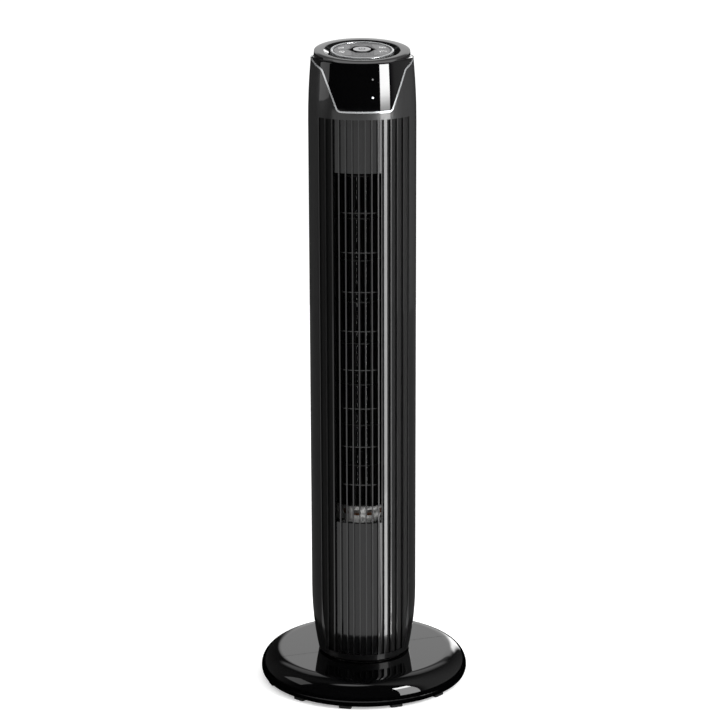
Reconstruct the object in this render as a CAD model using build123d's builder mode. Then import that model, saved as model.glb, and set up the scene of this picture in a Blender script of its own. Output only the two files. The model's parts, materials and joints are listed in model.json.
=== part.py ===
from build123d import *
import os
from math import acos, atan2, cos, degrees, hypot, radians, sin, sqrt

# Oscillating tower fan. Millimetres, +Z up, outlet towards -Y.
# The origin is the centre of the base, on the surface that the fan stands on.
# An azimuth is measured from -Y towards +X.

# ---- driving dimensions ----
R_BASE = 150.0                 # widest radius of the round base
BASE_EQUATOR = 15.0            # height of that widest radius
BASE_TOP = 40.0                # height of the base's flat top
BASE_WALL = 2.6
BASE_TURN = 16.0               # the base's front, seen from the tower at rest
FOOT_HEIGHT = 4.0

R_TOWER = 75.3                 # outer radius of the straight stretch of the tower
TOWER_BOTTOM = 43.0
TOWER_TOP = 905.0
STRAIGHT_LOW = 136.0           # the wall is straight between these heights
STRAIGHT_HIGH = 816.7
BEND_LOW = 465.0               # and bends inwards beyond them with these radii
BEND_HIGH = 893.0
SHELL = 2.6
PARTING_Y = -38.0              # plane where the grille meets the rear housing

FIN_PITCH = 9.0
FIN_COUNT = 13
FIN = 1.7
WIDE_FIN = (25.9, 30.2)        # sides of the one wide fin, beside the outlet
SLOT_BOTTOM = 51.5
SLOT_TOP = 828.0
SLOT_EDGE_X = 62.8             # outer side of the outermost slots
BLADE_DEPTH = 10.0             # depth of the grille's fins in front of the outlet
LINER_GAP = 0.4
LINER = 2.4

WINDOW_LOW = 252.0             # air outlet in the liner
WINDOW_HIGH = 754.0
WINDOW_LEFT = -36.0            # azimuths of its two sides
WINDOW_RIGHT = 18.0

ROTOR_X, ROTOR_Y = -2.0, 5.0   # axis of the impeller and its motor
IMPELLER_R = 42.0
IMPELLER_LOW = 267.5
SEGMENT = 59.6
SEGMENTS = 8
VANES = 36

SWING_EACH_WAY = 35.0
CRANK_R = 11.5                 # crank pin's distance from the swing motor's axis
POST_R = 21.0                  # link post's distance from the tower's axis
SWING_MOTOR_Y = 36.0           # the swing motor's axis, behind the tower's axis

PANEL_TILT = 8.0               # the top slopes down to the front
PANEL_HEIGHT = 914.5
PANEL_SHIFT = -1.0

FIT = 0.05                     # radial clearance of a running fit

# ---- worked out from them ----
IMPELLER_HIGH = IMPELLER_LOW + SEGMENT * SEGMENTS
MOTOR_PLATE = 238.0
TOP_PLATE = WINDOW_HIGH
PLATE = 3.0
panel = Plane(origin=(0, PANEL_SHIFT, PANEL_HEIGHT), x_dir=(1, 0, 0),
              z_dir=(0, -sin(radians(PANEL_TILT)), cos(radians(PANEL_TILT))))
fin_places = [FIN_PITCH * (i - (FIN_COUNT - 1) / 2) for i in range(FIN_COUNT)]
blade_places = [x for x in fin_places if -40 < x < 20]
fin_sides = [(x - FIN / 2, x + FIN / 2) for x in fin_places if not WIDE_FIN[0] < x < WIDE_FIN[1]]
fin_sides = sorted(fin_sides + [WIDE_FIN])

os.makedirs("parts", exist_ok=True)


def write(builder, name):
    """Label a finished piece and write it under its own name."""
    builder.part.label = name
    export_step(builder.part, "parts/" + name + ".step")


def at(radius, azimuth, z=0.0):
    """Point at a radius and an azimuth from -Y towards +X."""
    return (radius * sin(radians(azimuth)), -radius * cos(radians(azimuth)), z)


def tower_radius(z, inset=0.0):
    """Radius of the tower's wall at a height, drawn in by inset."""
    if z < STRAIGHT_LOW:
        rise, bend = STRAIGHT_LOW - z, BEND_LOW
    elif z > STRAIGHT_HIGH:
        rise, bend = z - STRAIGHT_HIGH, BEND_HIGH
    else:
        return R_TOWER - inset
    return R_TOWER - bend + sqrt((bend - inset) ** 2 - rise ** 2)


def tower_form(inset, low, high, mode=Mode.ADD):
    """Solid of the tower's outline, drawn in by inset, between two heights."""
    def wall_point(z):
        return (tower_radius(z, inset), z)

    with BuildSketch(Plane.XZ) as outline:
        with BuildLine():
            Line((0, low), wall_point(low))
            straight_from, straight_to = max(low, STRAIGHT_LOW), min(high, STRAIGHT_HIGH)
            if low < STRAIGHT_LOW:
                straight_from = min(STRAIGHT_LOW, high)
                middle = (low + straight_from) / 2
                ThreePointArc(wall_point(low), wall_point(middle), wall_point(straight_from))
            if high > STRAIGHT_HIGH:
                straight_to = max(STRAIGHT_HIGH, low)
            if straight_to > straight_from:
                Line(wall_point(straight_from), wall_point(straight_to))
            if high > STRAIGHT_HIGH:
                middle = (high + straight_to) / 2
                ThreePointArc(wall_point(straight_to), wall_point(middle), wall_point(high))
            Line(wall_point(high), (0, high))
            Line((0, high), (0, low))
        make_face()
    revolve(outline.sketch, axis=Axis.Z, mode=mode)


def tube(inner, outer, low, high, x=0.0, y=0.0, mode=Mode.ADD):
    """Upright tube, or a rod when inner is 0."""
    with BuildSketch(Plane.XY.offset(low)) as ring:
        with Locations((x, y)):
            Circle(outer)
            if inner > 0:
                Circle(inner, mode=Mode.SUBTRACT)
    extrude(ring.sketch, amount=high - low, mode=mode)


def along_y(radius, x, z, start, end, mode=Mode.ADD):
    """Rod along Y between two values of y."""
    with BuildSketch(Plane.XZ.offset(-start)) as end_face:
        with Locations((x, z)):
            Circle(radius)
    extrude(end_face.sketch, amount=start - end, mode=mode)


def block(low_corner, high_corner, mode=Mode.ADD):
    """Box between two opposite corners."""
    size = [b - a for a, b in zip(low_corner, high_corner)]
    middle = [(a + b) / 2 for a, b in zip(low_corner, high_corner)]
    with Locations(tuple(middle)):
        Box(*size, mode=mode)


def sector(inner, outer, start, end, low, high, mode=Mode.ADD):
    """Part of a ring between two azimuths and two heights."""
    half = (start + end) / 2
    with BuildSketch(Plane.XY.offset(low)) as slice_of_ring:
        with BuildLine():
            Line(at(inner, start)[:2], at(outer, start)[:2])
            ThreePointArc(at(outer, start)[:2], at(outer, half)[:2], at(outer, end)[:2])
            Line(at(outer, end)[:2], at(inner, end)[:2])
            ThreePointArc(at(inner, end)[:2], at(inner, half)[:2], at(inner, start)[:2])
        make_face()
    extrude(slice_of_ring.sketch, amount=high - low, mode=mode)


def screw_at(x, y, head_low, head_high, tip, head_r=3.0, shank_r=1.45):
    """Pan-head screw along Z, from its head to its tip, with a cross recess."""
    up = tip > head_high
    tube(0, head_r, head_low, head_high, x, y)
    tube(0, shank_r, *((head_high, tip) if up else (tip, head_low)), x, y)
    depth = 1.0
    face = (head_low, head_low + depth) if up else (head_high - depth, head_high)
    for dx, dy in ((0.4, head_r * 0.6), (head_r * 0.6, 0.4)):
        block((x - dx, y - dy, face[0]), (x + dx, y + dy, face[1]), mode=Mode.SUBTRACT)


def turned(azimuth, radius=0.0, z=0.0):
    """Plane whose normal points outwards at an azimuth, standing at a radius and a height."""
    return Plane(origin=at(radius, azimuth, z), x_dir=(cos(radians(azimuth)), sin(radians(azimuth)), 0),
                 z_dir=at(1, azimuth))


# ---- the two halves of the base cover ----
SEAT_R = 57.6                  # opening in the middle of the base
SEAT_SCREW_R = 64.0
SEAT_FLANGE = (26.0, 29.0)
FOOT_R = 139.5
FLAT_R = 121.0                 # the flat top ends here and the rounded rim starts
SOLE_R = 144.0                 # radius of the base's lower edge
GLAND_Z = 14.0
GLAND_FACE = 140.0             # outer side of the flat wall that carries the cord's gland
REAR = BASE_TURN + 180


def base_form(inset):
    """Solid of the base's rounded outline, drawn in by inset."""
    top, side, sole = BASE_TOP - inset, R_BASE - inset, SOLE_R - inset
    with BuildSketch(Plane.XZ) as outline:
        with BuildLine():
            Line((0, FOOT_HEIGHT), (sole, FOOT_HEIGHT))
            EllipticalCenterArc((sole, BASE_EQUATOR), side - sole, BASE_EQUATOR - FOOT_HEIGHT, -90,
                                arc_size=90)
            EllipticalCenterArc((FLAT_R, BASE_EQUATOR), side - FLAT_R, top - BASE_EQUATOR, 0, arc_size=90)
            Polyline((FLAT_R, top), (0, top), (0, FOOT_HEIGHT))
        make_face()
    revolve(outline.sketch, axis=Axis.Z)


with BuildPart() as base_inside:
    base_form(BASE_WALL)

with BuildPart() as alcove:
    base_form(0)
    with BuildSketch(turned(REAR, GLAND_FACE - 2.4)):
        with Locations((0, 15)):
            Rectangle(34, 22)
    extrude(amount=20, mode=Mode.INTERSECT)

with BuildPart() as base_cover:
    base_form(0)
    add(base_inside.part, mode=Mode.SUBTRACT)
    tube(0, SEAT_R, 30, 50, mode=Mode.SUBTRACT)
    # screw bosses over the swivel seat's flange, and radial ribs under the top
    with BuildSketch(Plane.XY.offset(SEAT_FLANGE[1])):
        with PolarLocations(SEAT_SCREW_R, 8, start_angle=BASE_TURN - 90 + 22.5):
            Circle(4.0)
            Circle(1.5, mode=Mode.SUBTRACT)
    extrude(amount=BASE_TOP - 2 - SEAT_FLANGE[1])
    with BuildSketch(Plane.XY.offset(24)):
        with PolarLocations(99, 12, start_angle=BASE_TURN - 90 + 15):
            Rectangle(54, 1.8)
    extrude(amount=BASE_TOP - 2 - 24)
    # pads inside the rim that the feet are glued under
    with BuildSketch(Plane.XY.offset(FOOT_HEIGHT)):
        with PolarLocations(FOOT_R - 1, 12, start_angle=BASE_TURN - 90):
            Rectangle(9, 15)
    extrude(amount=2.5)
    # alcove at the rear, with a flat wall for the cord's gland
    add(alcove.part)
    with BuildSketch(turned(REAR, GLAND_FACE)):
        with Locations((0, 14)):
            Rectangle(30, 20)
    extrude(amount=20, mode=Mode.SUBTRACT)
    with BuildSketch(turned(REAR, GLAND_FACE - 6)):
        with Locations((0, GLAND_Z)):
            Circle(6.0)
    extrude(amount=8, mode=Mode.SUBTRACT)

SEAM_GAP = 0.6                 # hairline between the two halves
seam = turned(BASE_TURN)
for name, side, direction in (("base_front_shell", Keep.TOP, 1), ("base_rear_shell", Keep.BOTTOM, -1)):
    with BuildPart() as half_cover:
        add(base_cover.part)
        split(bisect_by=seam.offset(direction * SEAM_GAP / 2), keep=side)
    write(half_cover, name)

with BuildPart() as base_feet:
    with BuildSketch():
        with PolarLocations(FOOT_R, 12, start_angle=BASE_TURN - 90):
            RectangleRounded(9, 18, 2.5)
    extrude(amount=FOOT_HEIGHT)
write(base_feet, "base_feet")

# ---- swivel seat, screwed to both halves from below ----
SEAT_FLOOR = (22.0, 25.0)
SEAT_WALL = (54.0, 57.0)       # inner and outer radius
FLANGE_R = 70.0
TUBE_IN, TUBE_OUT = 6.5, 10.0
TUBE_TOP = 62.0
SEAT_TOP = 42.6
CLIP_GROOVE = (57.7, 59.1)
CLIP_R = 9.0
seat_screws = [at(SEAT_SCREW_R, BASE_TURN + 22.5 + 45 * i) for i in range(8)]

with BuildPart() as swivel_seat:
    with BuildSketch(Plane.XZ):
        with BuildLine():
            Polyline((TUBE_IN, SEAT_FLOOR[0]), (SEAT_WALL[1], SEAT_FLOOR[0]), (SEAT_WALL[1], SEAT_FLANGE[0]),
                     (FLANGE_R, SEAT_FLANGE[0]), (FLANGE_R, SEAT_FLANGE[1]), (SEAT_WALL[1], SEAT_FLANGE[1]),
                     (SEAT_WALL[1], SEAT_TOP), (SEAT_WALL[0], SEAT_TOP), (SEAT_WALL[0], SEAT_FLOOR[1]),
                     (TUBE_OUT, SEAT_FLOOR[1]), (TUBE_OUT, CLIP_GROOVE[0]),
                     (CLIP_R, CLIP_GROOVE[0]), (CLIP_R, CLIP_GROOVE[1]), (TUBE_OUT, CLIP_GROOVE[1]),
                     (TUBE_OUT, TUBE_TOP), (TUBE_IN, TUBE_TOP), close=True)
        make_face()
    revolve(axis=Axis.Z)
    with BuildSketch(Plane.XY.offset(SEAT_FLANGE[0])):
        with Locations(*[p[:2] for p in seat_screws]):
            Circle(1.8)
    extrude(amount=SEAT_FLANGE[1] - SEAT_FLANGE[0], mode=Mode.SUBTRACT)
    with BuildSketch(Plane.XY.offset(SEAT_FLOOR[0])):
        with PolarLocations(32, 6, start_angle=BASE_TURN):
            Rectangle(46, 1.8)
    extrude(amount=-3)
write(swivel_seat, "swivel_seat")

with BuildPart() as base_screws:
    for x, y, _ in seat_screws:
        screw_at(x, y, SEAT_FLANGE[0] - 2.2, SEAT_FLANGE[0], SEAT_FLANGE[1] + 7)
write(base_screws, "base_screws")

with BuildPart() as cord_gland:
    for start, length, radius in ((-4.4, 2.0, 7.5), (-2.4, 2.4, 5.95), (0, 0.9, 7.5)):
        with BuildSketch(turned(REAR, GLAND_FACE + start, GLAND_Z)):
            Circle(radius)
            Circle(3.6, mode=Mode.SUBTRACT)
        extrude(amount=length)
write(cord_gland, "cord_gland")

with BuildPart() as glide_ring:
    tube(50.2, 56.8, SEAT_TOP, SEAT_TOP + 1.3)
write(glide_ring, "glide_ring")

# ---- what holds the tower down on the seat's middle tube ----
HUB_TOP = 56.0
with BuildPart() as retainer_washer:
    tube(TUBE_OUT + FIT, 14.2, HUB_TOP + 0.1, CLIP_GROOVE[0] - 0.1)
write(retainer_washer, "retainer_washer")

with BuildPart() as retainer_clip:
    sector(CLIP_R + FIT, 13.0, -150, 150, CLIP_GROOVE[0] + FIT, CLIP_GROOVE[1] - FIT)
write(retainer_clip, "retainer_clip")

# ---- bottom plate of the tower ----
BOTTOM_PLATE = (44.0, 47.0)
PLATE_SCREW_R = 45.0
plate_screws = [at(PLATE_SCREW_R, a) for a in (-125, -45, 45, 125)]
swing_ears = [(-26.0, SWING_MOTOR_Y), (26.0, SWING_MOTOR_Y)]

with BuildPart() as bottom_plate:
    tube(TUBE_OUT + FIT, 63.2, *BOTTOM_PLATE)
    tube(TUBE_OUT + FIT, 13.6, BOTTOM_PLATE[1], HUB_TOP)
    with BuildSketch(Plane.XY.offset(BOTTOM_PLATE[0])):
        with Locations(*[p[:2] for p in plate_screws]):
            Circle(1.8)
        with Locations(*swing_ears):
            Circle(1.3)
        with Locations((0, SWING_MOTOR_Y)):
            Circle(4.0)
    extrude(amount=PLATE, mode=Mode.SUBTRACT)
write(bottom_plate, "bottom_plate")

# ---- swing motor, crank, link and post ----
SWING_BODY_R = 21.0
CRANK = (36.0, 40.0)
LINK = (31.0, 35.0)
PIN_R = 2.5
POST_PIN_R = 3.0
ARM_R = 5.0                    # half the width of the crank
LINK_ARM_R = 5.5
post_lead = degrees(acos(POST_R / SWING_MOTOR_Y))      # from the post to the motor, mid-swing
post_angle = 90 - post_lead + BASE_TURN
crank_angle = 180 - post_lead + 90 * (SWING_EACH_WAY - BASE_TURN) / SWING_EACH_WAY
post_x, post_y = POST_R * cos(radians(post_angle)), POST_R * sin(radians(post_angle))
pin_x = CRANK_R * cos(radians(crank_angle))
pin_y = SWING_MOTOR_Y + CRANK_R * sin(radians(crank_angle))

with BuildPart() as swing_motor:
    tube(0, SWING_BODY_R, BOTTOM_PLATE[1], BOTTOM_PLATE[1] + 16, 0, SWING_MOTOR_Y)
    fillet(swing_motor.edges().group_by(Axis.Z)[-1], 1.2)
    with BuildSketch(Plane.XY.offset(BOTTOM_PLATE[1])):
        with Locations((0, SWING_MOTOR_Y)):
            SlotOverall(60, 8)
        with Locations(*swing_ears):
            Circle(1.7, mode=Mode.SUBTRACT)
    extrude(amount=1.2)
    tube(0, 3.0 + FIT, BOTTOM_PLATE[1], BOTTOM_PLATE[1] + 6, 0, SWING_MOTOR_Y, mode=Mode.SUBTRACT)
write(swing_motor, "swing_motor")

with BuildPart() as swing_motor_screws:
    for x, y in swing_ears:
        screw_at(x, y, BOTTOM_PLATE[1] + 1.2, BOTTOM_PLATE[1] + 3.2, BOTTOM_PLATE[0] - 1, 2.6, 1.25)
write(swing_motor_screws, "swing_motor_screws")


def arm(start, end, radius, low, high):
    """Flat bar with round ends between two points."""
    run_x, run_y = end[0] - start[0], end[1] - start[1]
    with BuildSketch(Plane.XY.offset(low)) as bar:
        with Locations(((start[0] + end[0]) / 2, (start[1] + end[1]) / 2)):
            SlotCenterToCenter(hypot(run_x, run_y), 2 * radius, rotation=degrees(atan2(run_y, run_x)))
    extrude(bar.sketch, amount=high - low)


with BuildPart() as swing_crank:
    arm((0, SWING_MOTOR_Y), (pin_x, pin_y), ARM_R, *CRANK)
    tube(0, 3.0, CRANK[1], BOTTOM_PLATE[1] + 5, 0, SWING_MOTOR_Y)
    tube(0, PIN_R, LINK[0] - 0.2, CRANK[0], pin_x, pin_y)
write(swing_crank, "swing_crank")

with BuildPart() as swing_link:
    arm((pin_x, pin_y), (post_x, post_y), LINK_ARM_R, *LINK)
    tube(0, PIN_R + FIT, LINK[0], LINK[1], pin_x, pin_y, mode=Mode.SUBTRACT)
    tube(0, POST_PIN_R + FIT, LINK[0], LINK[1], post_x, post_y, mode=Mode.SUBTRACT)
write(swing_link, "swing_link")

with BuildPart() as link_post:
    tube(0, POST_PIN_R, SEAT_FLOOR[1], LINK[0] - 0.5, post_x, post_y)
    tube(0, 5.0, SEAT_FLOOR[1], SEAT_FLOOR[1] + 2, post_x, post_y)
write(link_post, "link_post")

# ---- outline of the trim that frames the display ----
TRIM_WIDTH = 2.2
TRIM_PROUD = 0.3
TRIM_DEPTH = 2.3
TRIM_LIP = 904.8               # height of the trim round the rear
window_corners = [(37.3, 838.5), (57.2, 893.2), (65.0, 898.3), (76.0, 910.2)]
corner_radii = [6.5, 5.0, 14.0]


def display_outline(grow, mode=Mode.ADD):
    """Front outline of the display, grown on every side, extruded towards -Y."""
    left = [(-x, z) for x, z in reversed(window_corners)]
    radii = list(reversed(corner_radii)) + corner_radii
    with BuildSketch(Plane.XZ) as outline:
        with BuildLine():
            FilletPolyline(*left, *window_corners, radius=radii)
            Polyline(window_corners[-1], (90, 925), (90, 960), (-90, 960), (-90, 925), left[0])
        make_face()
        offset(amount=grow)
    extrude(outline.sketch, amount=100, mode=mode)


# ---- rear housing ----
SLAT_PITCH = 8.76
SLAT_GAP = 5.4
SLATS_FROM = 262.0
SLAT_COUNT = 55
SOLID_EVERY = 7
SLAT_AZIMUTH = 130.0           # the slots run from here round the rear
HANDLE = (92.0, 798.0, 838.0)  # width, lower and upper side of the carry recess
HANDLE_FLOOR_Y = 44.0
TUNNEL_X, TUNNEL_Z = 50.0, 776.0
CAP_LUG = (872.0, 875.0)
LUG_AZIMUTHS = (-140, -65, 65, 140)
cap_lugs = [at(60.0, a) for a in LUG_AZIMUTHS]

with BuildPart() as slat_cutter:
    for i in range(SLAT_COUNT):
        if i % SOLID_EVERY != SOLID_EVERY - 1:
            low = SLATS_FROM + i * SLAT_PITCH
            sector(60, 90, SLAT_AZIMUTH, 360 - SLAT_AZIMUTH, low, low + SLAT_GAP)

with BuildPart() as rear_housing:
    tower_form(0, TOWER_BOTTOM, TRIM_LIP - TRIM_WIDTH / 2)
    tower_form(SHELL, TOWER_BOTTOM, TRIM_LIP - TRIM_WIDTH / 2, mode=Mode.SUBTRACT)
    # carry recess: a pocket with its own walls
    with BuildPart(mode=Mode.PRIVATE) as pocket:
        tower_form(0.5, HANDLE[1] - SHELL, HANDLE[2] + SHELL)
        block((-HANDLE[0] / 2 - SHELL, HANDLE_FLOOR_Y - SHELL, 700), (HANDLE[0] / 2 + SHELL, 90, 900),
              mode=Mode.INTERSECT)
    add(pocket.part)
    block((-HANDLE[0] / 2, HANDLE_FLOOR_Y, HANDLE[1]), (HANDLE[0] / 2, 90, HANDLE[2]), mode=Mode.SUBTRACT)
    add(slat_cutter.part, mode=Mode.SUBTRACT)
    # upright ribs that tie the slats together from inside
    for azimuth in (155, 180, 205):
        sector(R_TOWER - SHELL - 2.2, R_TOWER - 1.0, azimuth - 1.2, azimuth + 1.2, SLATS_FROM - 4, 748)
    # ledge under the motor plate, posts for the bottom plate, lugs for the cap
    sector(67.0, R_TOWER - 1, 75, 285, MOTOR_PLATE - 2.4, MOTOR_PLATE)
    sector(67.0, R_TOWER - 1, 75, 285, TOP_PLATE - 2.4, TOP_PLATE)
    for x, y, _ in plate_screws:
        if y > 0:
            azimuth = degrees(atan2(x, -y))
            tube(0, 4.2, BOTTOM_PLATE[1], 60, x, y)
            sector(PLATE_SCREW_R, 65.2, azimuth - 1.6, azimuth + 1.6, BOTTOM_PLATE[1], 58)
            tube(0, 1.5, BOTTOM_PLATE[1], 60, x, y, mode=Mode.SUBTRACT)
    for azimuth, (x, y, _) in zip(LUG_AZIMUTHS, cap_lugs):
        sector(56, 71.5, azimuth - 5, azimuth + 5, *CAP_LUG)
        tube(0, 1.8, *CAP_LUG, x, y, mode=Mode.SUBTRACT)
    # screw tunnels that reach the outlet liner from behind
    with BuildPart(mode=Mode.PRIVATE) as tunnels:
        for x in (-TUNNEL_X, TUNNEL_X):
            along_y(5.0, x, TUNNEL_Z, -18, 70)
        tower_form(0.4, 760, 790, mode=Mode.INTERSECT)
    add(tunnels.part)
    for x in (-TUNNEL_X, TUNNEL_X):
        along_y(3.4, x, TUNNEL_Z, -8, 90, mode=Mode.SUBTRACT)
        along_y(1.8, x, TUNNEL_Z, -20, 0, mode=Mode.SUBTRACT)
    block((-90, -90, 0), (90, PARTING_Y, 950), mode=Mode.SUBTRACT)
    with BuildPart(mode=Mode.PRIVATE) as display_cut:
        display_outline(TRIM_WIDTH / 2 + FIT)
    add(display_cut.part, mode=Mode.SUBTRACT)
write(rear_housing, "rear_housing")

# ---- front grille ----
TIE_RIB = 1.2
TIE_DEPTH = 2.2
TIE_PITCH = (WINDOW_HIGH - WINDOW_LOW) / 9

with BuildPart() as slot_cutter:
    sides = [(-90, -SLOT_EDGE_X)] + fin_sides + [(SLOT_EDGE_X, 90)]
    for (_, start), (end, _) in zip(sides, sides[1:]):
        block((start, -90, SLOT_BOTTOM), (end, -20, SLOT_TOP))

with BuildPart() as blades:
    tower_form(0.2, WINDOW_LOW + 1, WINDOW_HIGH - 1)
    with BuildPart(mode=Mode.PRIVATE) as blade_boxes:
        for x in blade_places:
            depth_y = -sqrt((R_TOWER - 2) ** 2 - x ** 2) + BLADE_DEPTH
            block((x - FIN / 2, -90, WINDOW_LOW), (x + FIN / 2, depth_y, WINDOW_HIGH))
        for i in range(1, 9):
            low = WINDOW_LOW + i * TIE_PITCH - TIE_RIB / 2
            sector(R_TOWER - BLADE_DEPTH, R_TOWER - BLADE_DEPTH + TIE_DEPTH, -33, 15, low, low + TIE_RIB)
    add(blade_boxes.part, mode=Mode.INTERSECT)

with BuildPart() as front_grille:
    tower_form(0, TOWER_BOTTOM, TOWER_TOP)
    tower_form(SHELL, TOWER_BOTTOM, TOWER_TOP, mode=Mode.SUBTRACT)
    block((-90, PARTING_Y - FIT, 0), (90, 90, 950), mode=Mode.SUBTRACT)
    add(slot_cutter.part, mode=Mode.SUBTRACT)
    add(blades.part)
    add(display_cut.part, mode=Mode.SUBTRACT)
write(front_grille, "front_grille")

# ---- outlet liner: the shallow wall behind the fins, with the air outlet cut in it ----
with BuildPart() as outlet_liner:
    tower_form(SHELL + LINER_GAP, BOTTOM_PLATE[1], SLOT_TOP + 6)
    tower_form(SHELL + LINER_GAP + LINER, BOTTOM_PLATE[1], SLOT_TOP + 6, mode=Mode.SUBTRACT)
    block((-90, -26, 0), (90, 90, 950), mode=Mode.SUBTRACT)
    sector(50, 90, WINDOW_LEFT, WINDOW_RIGHT, WINDOW_LOW, WINDOW_HIGH, mode=Mode.SUBTRACT)
    for x, y, _ in plate_screws:
        if y < 0:
            azimuth = degrees(atan2(x, -y))
            tube(0, 4.2, BOTTOM_PLATE[1], 60, x, y)
            sector(PLATE_SCREW_R, 62.4, azimuth - 1.6, azimuth + 1.6, BOTTOM_PLATE[1], 58)
            tube(0, 1.5, BOTTOM_PLATE[1], 60, x, y, mode=Mode.SUBTRACT)
    for x in (-TUNNEL_X, TUNNEL_X):
        along_y(5.0, x, TUNNEL_Z, -47, -18.4)
        along_y(1.5, x, TUNNEL_Z, -36.4, -18.4, mode=Mode.SUBTRACT)
write(outlet_liner, "outlet_liner")

with BuildPart() as housing_screws:
    for x, y, _ in plate_screws:
        screw_at(x, y, BOTTOM_PLATE[0] - 2.0, BOTTOM_PLATE[0], BOTTOM_PLATE[1] + 9)
    for x in (-TUNNEL_X, TUNNEL_X):
        along_y(3.0, x, TUNNEL_Z, -8, -5.8)
        along_y(1.45, x, TUNNEL_Z, -32, -8)
write(housing_screws, "housing_screws")

# ---- air duct: scroll wall, vortex tongue and the two plates that close it ----
SCROLL_WALL = 1.6
DUCT_LOW = MOTOR_PLATE + PLATE
SCROLL_START, SCROLL_END = -44.0, -150.0   # azimuths seen from the impeller's axis


def scroll_point(azimuth, extra=0.0):
    """Spiral round the impeller, widest at the outlet and closest at the rear."""
    share = (azimuth - SCROLL_END) / (SCROLL_START - SCROLL_END)
    radius = IMPELLER_R + 3.0 + 17.0 * share ** 1.5 + extra
    x, y, _ = at(radius, azimuth)
    return (ROTOR_X + x, ROTOR_Y + y)


with BuildPart() as scroll_wall:
    steps = [SCROLL_START + (SCROLL_END - SCROLL_START) * i / 8 for i in range(9)]
    with BuildSketch(Plane.XY.offset(DUCT_LOW)):
        with BuildLine():
            inner = Spline(*[scroll_point(a) for a in steps])
            outer = Spline(*[scroll_point(a, SCROLL_WALL) for a in steps])
            Line(inner @ 0, outer @ 0)
            Line(inner @ 1, outer @ 1)
        make_face()
    extrude(amount=TOP_PLATE - DUCT_LOW)
write(scroll_wall, "scroll_wall")

with BuildPart() as vortex_tongue:
    with BuildSketch(Plane.XY.offset(DUCT_LOW)):
        with BuildLine() as tongue_line:
            FilletPolyline((23.5, -63.0), (27.5, -31.5), (41.0, -27.0), (60.0, -30.0), radius=[3.0, 6.0])
        trace(tongue_line.line, line_width=1.8)
    extrude(amount=TOP_PLATE - DUCT_LOW)
write(vortex_tongue, "vortex_tongue")

BELL_R, BELL_WALL = 36.0, 2.4
MOTOR_SCREW_R = 41.0
TOP_BORE = 9.0
LOOM_X, LOOM_Y = -62.5, -20.0
motor_screws_at = [(ROTOR_X + x, ROTOR_Y + y) for x, y, _ in
                   (at(MOTOR_SCREW_R, 45 + 90 * i) for i in range(4))]


def screw_holes(radius, low, high):
    """Holes for the motor's screws."""
    with BuildSketch(Plane.XY.offset(low)) as holes:
        with Locations(*motor_screws_at):
            Circle(radius)
    extrude(holes.sketch, amount=high - low, mode=Mode.SUBTRACT)


with BuildPart() as motor_plate:
    tube(0, 69.4, MOTOR_PLATE, DUCT_LOW)
    tube(0, 5.5, MOTOR_PLATE, DUCT_LOW, LOOM_X + 2.5, LOOM_Y - 1, mode=Mode.SUBTRACT)
    tube(0, BELL_R + 0.3, MOTOR_PLATE, DUCT_LOW, ROTOR_X, ROTOR_Y, mode=Mode.SUBTRACT)
    screw_holes(1.8, MOTOR_PLATE, DUCT_LOW)
write(motor_plate, "motor_plate")

with BuildPart() as duct_top_plate:
    tube(0, 69.4, TOP_PLATE, TOP_PLATE + PLATE)
    tube(0, 4.0, TOP_PLATE, TOP_PLATE + PLATE, LOOM_X, LOOM_Y, mode=Mode.SUBTRACT)
    tube(0, 13.0, TOP_PLATE + PLATE, TOP_PLATE + 13, ROTOR_X, ROTOR_Y)
    tube(0, TOP_BORE, TOP_PLATE, TOP_PLATE + 13, ROTOR_X, ROTOR_Y, mode=Mode.SUBTRACT)
write(duct_top_plate, "duct_top_plate")

# ---- impeller ----
DISC = 2.0
VANE_IN = 33.0
VANE = 1.0


def rotor_tube(inner, outer, low, high, mode=Mode.ADD):
    """Tube or rod on the impeller's axis."""
    tube(inner, outer, low, high, ROTOR_X, ROTOR_Y, mode)


with BuildSketch() as vane:
    with BuildLine():
        tip = IMPELLER_R - 0.5
        ThreePointArc((VANE_IN, 0), (VANE_IN + 3.6, 2.3), (tip, 3.0))
        Line((tip, 3.0), (tip, 3.0 + VANE))
        ThreePointArc((tip, 3.0 + VANE), (VANE_IN + 3.4, 2.3 + VANE), (VANE_IN, VANE))
        Line((VANE_IN, VANE), (VANE_IN, 0))
    make_face()

with BuildPart() as impeller:
    for i in range(SEGMENTS + 1):
        z = IMPELLER_LOW + i * SEGMENT
        hole = 4.6 if i in (0, SEGMENTS) else 30.0
        rotor_tube(hole, IMPELLER_R, z - DISC / 2, z + DISC / 2)
    # forward-curved vanes, as thin arcs
    with BuildSketch(Plane.XY.offset(IMPELLER_LOW)):
        with Locations((ROTOR_X, ROTOR_Y)):
            with PolarLocations(0, VANES):
                add(vane.sketch)
    extrude(amount=IMPELLER_HIGH - IMPELLER_LOW)
write(impeller, "impeller")

SHAFT_R = 4.0
STUB_R = 3.0
with BuildPart() as impeller_hub:
    rotor_tube(SHAFT_R, 9.0, IMPELLER_LOW + DISC / 2, IMPELLER_LOW + 17)
    rotor_tube(SHAFT_R, 16.0, IMPELLER_LOW + DISC / 2, IMPELLER_LOW + 3.5)
    with BuildSketch(Plane.YZ.offset(ROTOR_X)):
        with Locations((ROTOR_Y, IMPELLER_LOW + 10)):
            Circle(2.0)
    extrude(amount=12, mode=Mode.SUBTRACT)
write(impeller_hub, "impeller_hub")

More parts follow.
